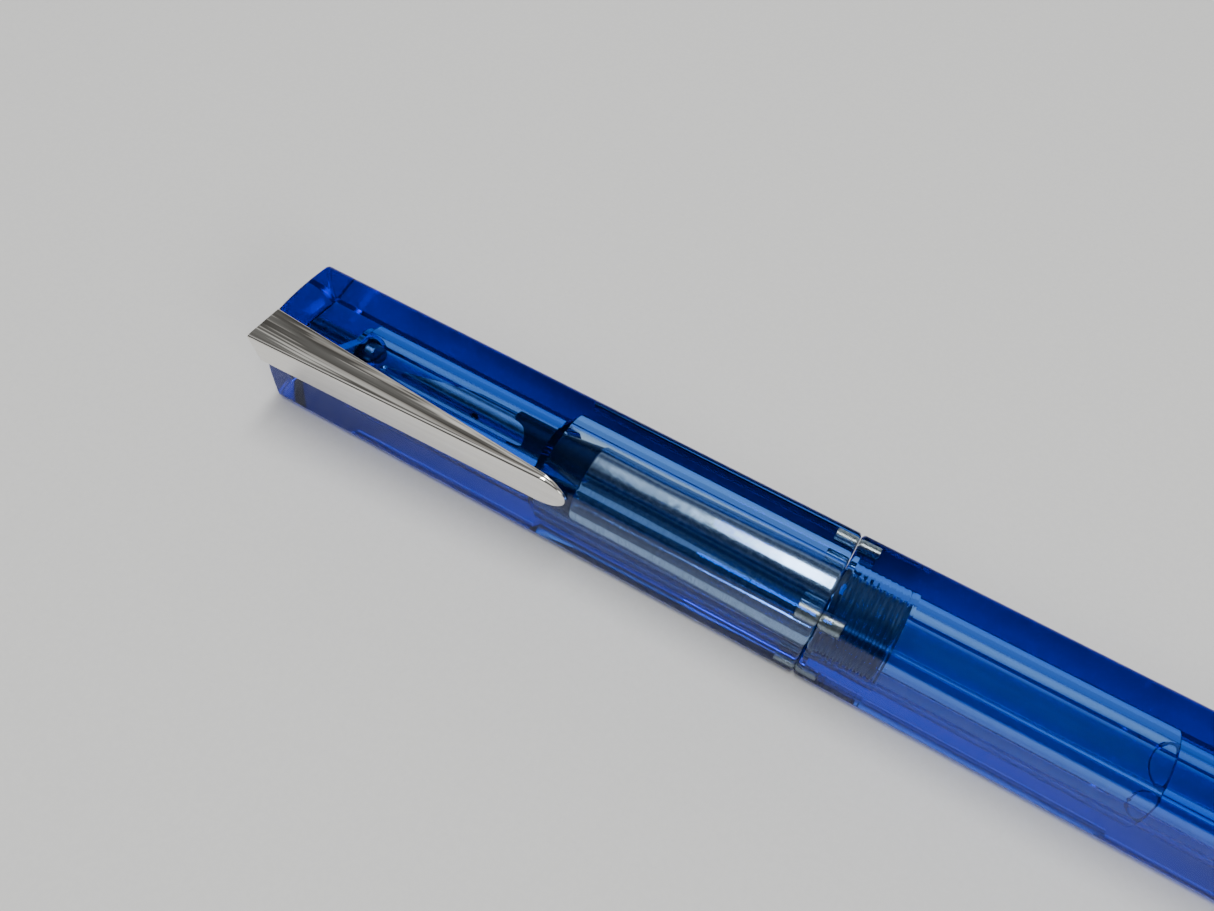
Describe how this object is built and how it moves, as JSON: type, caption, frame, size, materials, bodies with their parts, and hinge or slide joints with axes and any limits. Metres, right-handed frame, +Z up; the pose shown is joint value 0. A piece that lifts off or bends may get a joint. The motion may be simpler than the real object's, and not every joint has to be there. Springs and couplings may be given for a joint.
{
  "type": "fountain pen",
  "caption": "Transparent square-section fountain pen with a magnetic pull-off cap, an edge-mounted wedge clip, a metal grip and a screw-on reservoir barrel.",
  "frame": {"origin": "middle of the closed pen's outline seen from above, on the plane that the pen lies on", "axes": "+X along the pen from the cap's end to the barrel's end, +Z up, -Y towards the side that the clip is on"},
  "size_m": [0.1436, 0.0148, 0.0135],
  "materials": {
    "blue_acrylic": "clear polished acrylic",
    "clip_silver": "polished, slightly warm silver",
    "dark_steel": "dark turned steel",
    "nickel": "nickel plated",
    "black_rubber": "smooth",
    "grip_metal": "turned and polished",
    "black_plastic": "glossy",
    "nib_steel": "polished"
  },
  "bodies": {
    "section": {"section_grip": "grip_metal", "section_collar": "black_plastic", "nib_housing": "black_plastic", "feed": "black_plastic", "nib": "nib_steel", "nib_tipping": "nib_steel"},
    "barrel_seal": {"barrel_o_ring": "black_rubber"},
    "barrel": {"barrel_shell": "blue_acrylic", "barrel_magnet_back_top": "nickel", "barrel_magnet_front_top": "nickel", "barrel_magnet_front_bottom": "nickel", "barrel_magnet_back_bottom": "nickel"},
    "cap": {"cap_shell": "blue_acrylic", "clip_root": "clip_silver", "clip_screw": "dark_steel", "cap_magnet_back_top": "nickel", "cap_magnet_front_top": "nickel", "cap_magnet_front_bottom": "nickel", "cap_magnet_back_bottom": "nickel"},
    "clip": {"clip_arm": "clip_silver"}
  },
  "joints": [
    {"name": "barrel_travel", "type": "slide", "parent": "section", "child": "barrel_seal", "axis": [1, 0, 0], "range_m": [0, 0.0075]},
    {"name": "barrel_turn", "type": "hinge", "parent": "barrel_seal", "child": "barrel", "pos_m": [-0.0014, 0.00115, 0.00625], "axis": [1, 0, 0], "range_deg": [0, 3600]},
    {"name": "cap_pull", "type": "slide", "parent": "section", "child": "cap", "axis": [-1, 0, 0], "range_m": [0, 0.062]},
    {"name": "clip_flex", "type": "hinge", "parent": "cap", "child": "clip", "pos_m": [-0.059, -0.00691, 0.01338], "axis": [0, -0.7071, -0.7071], "range_deg": [0, 4], "stiffness_Nm_per_rad": 2}
  ],
  "couplings": [
    {"joint": "barrel_turn", "follows": "barrel_travel", "rad_per_m": 8377.6}
  ]
}
